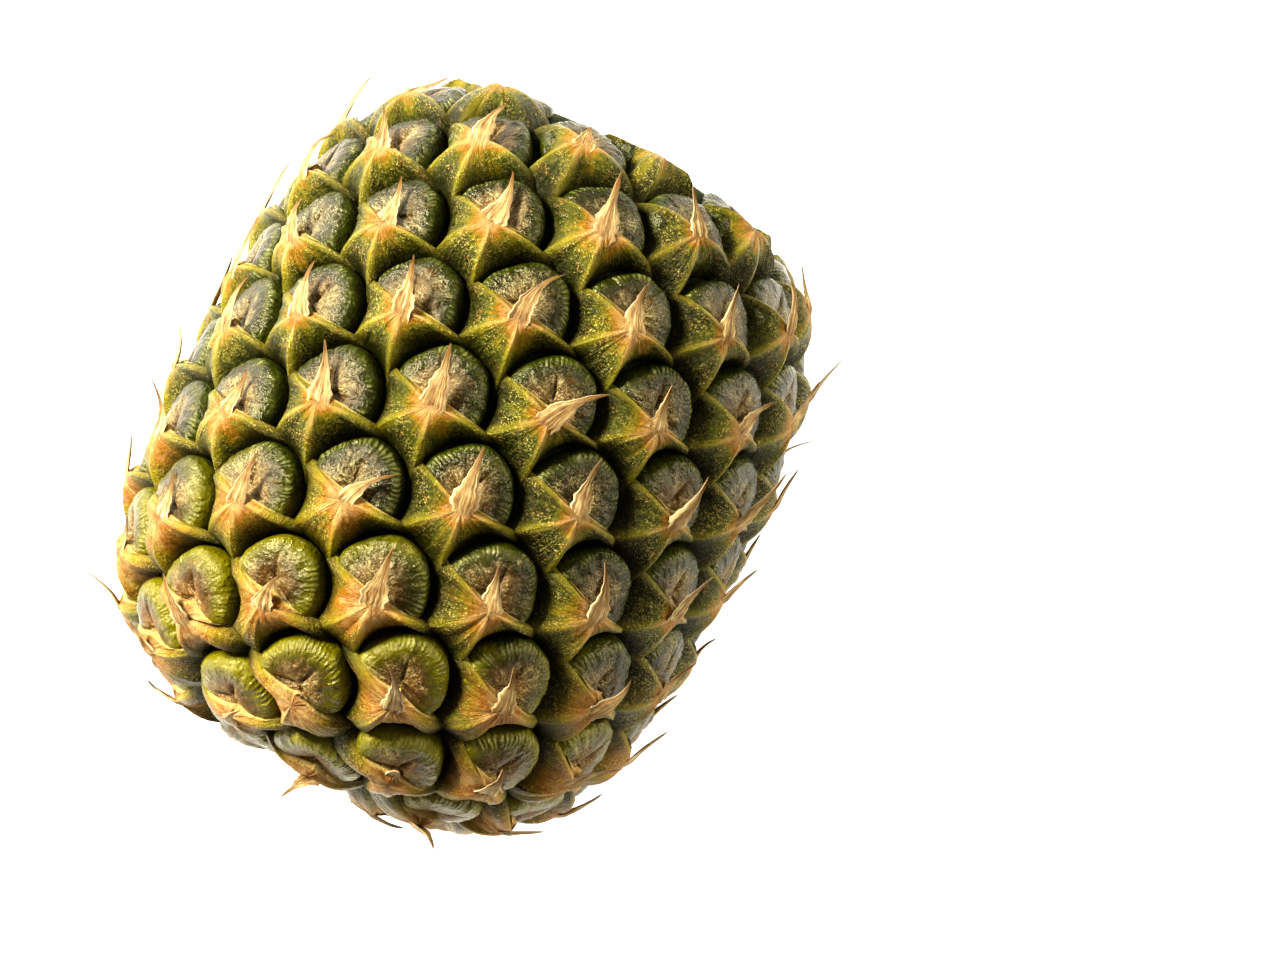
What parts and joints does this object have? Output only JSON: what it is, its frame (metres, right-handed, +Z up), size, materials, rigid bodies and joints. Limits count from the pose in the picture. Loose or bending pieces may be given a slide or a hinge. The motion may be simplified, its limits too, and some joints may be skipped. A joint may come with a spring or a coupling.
{
  "type": "pineapple",
  "caption": "Whole ripe pineapple with its crown cut off, lying on its side: a barrel of spiralling eyes with dry bract tips.",
  "frame": {"origin": "middle of the small flat spot that the fruit rests on, under the belly", "axes": "+Z up from the surface that the fruit lies on; +Y along the fruit's axis, towards the end that bore the crown; +X to the side"},
  "size_m": [0.1346, 0.15, 0.1279],
  "materials": {
    "rind": "waxy green skin with a grey bloom, yellow to orange towards the stem end, semi-gloss",
    "bract": "dry papery tan to pink-brown, matte",
    "flesh": "wet yellow cut flesh with pale fibres",
    "stalk": "dry fibrous broken stalk"
  },
  "bodies": {
    "root": {"fruit": "rind"}
  },
  "joints": []
}
